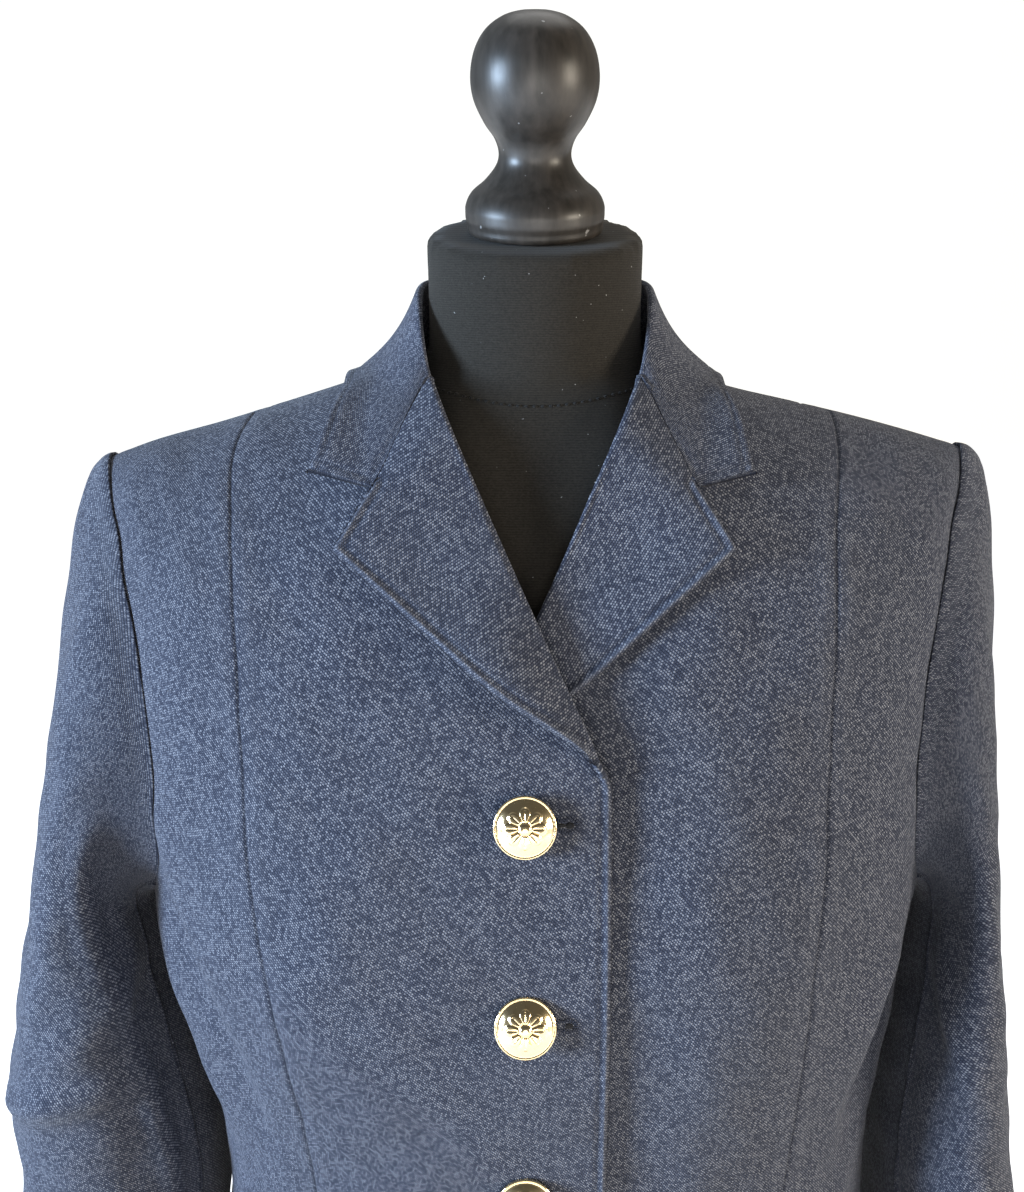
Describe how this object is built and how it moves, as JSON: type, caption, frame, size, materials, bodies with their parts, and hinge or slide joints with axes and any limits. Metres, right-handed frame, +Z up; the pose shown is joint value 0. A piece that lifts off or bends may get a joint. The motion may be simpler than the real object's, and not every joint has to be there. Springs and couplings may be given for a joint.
{
  "type": "military dress tunic on dress form",
  "caption": "Single-breasted dress tunic with notched lapels, princess seams, two-piece sleeves and domed gilt buttons, on a limbless dress form with a turned finial and a round foot.",
  "frame": {"origin": "middle of the underside of the whole object, on the surface that the foot stands on", "axes": "+Z up, the tunic's front faces -Y, the wearer's left is +X"},
  "size_m": [0.5576, 0.3004, 0.9637],
  "materials": {
    "tunic_cloth": "matt",
    "button_gilt": "polished",
    "form_jersey": "matt",
    "stained_wood": "semi-gloss"
  },
  "bodies": {
    "root": {"front_right": "tunic_cloth", "side_front_right": "tunic_cloth", "side_back_right": "tunic_cloth", "back_right": "tunic_cloth", "lapel_right": "tunic_cloth", "top_sleeve_right": "tunic_cloth", "under_sleeve_right": "tunic_cloth", "front_left": "tunic_cloth", "side_front_left": "tunic_cloth", "side_back_left": "tunic_cloth", "back_left": "tunic_cloth", "lapel_left": "tunic_cloth", "top_sleeve_left": "tunic_cloth", "under_sleeve_left": "tunic_cloth", "collar": "tunic_cloth", "button_1": "button_gilt", "button_2": "button_gilt", "button_3": "button_gilt", "button_4": "button_gilt", "form_body": "form_jersey", "finial": "stained_wood", "post": "stained_wood", "foot": "stained_wood"}
  },
  "joints": []
}
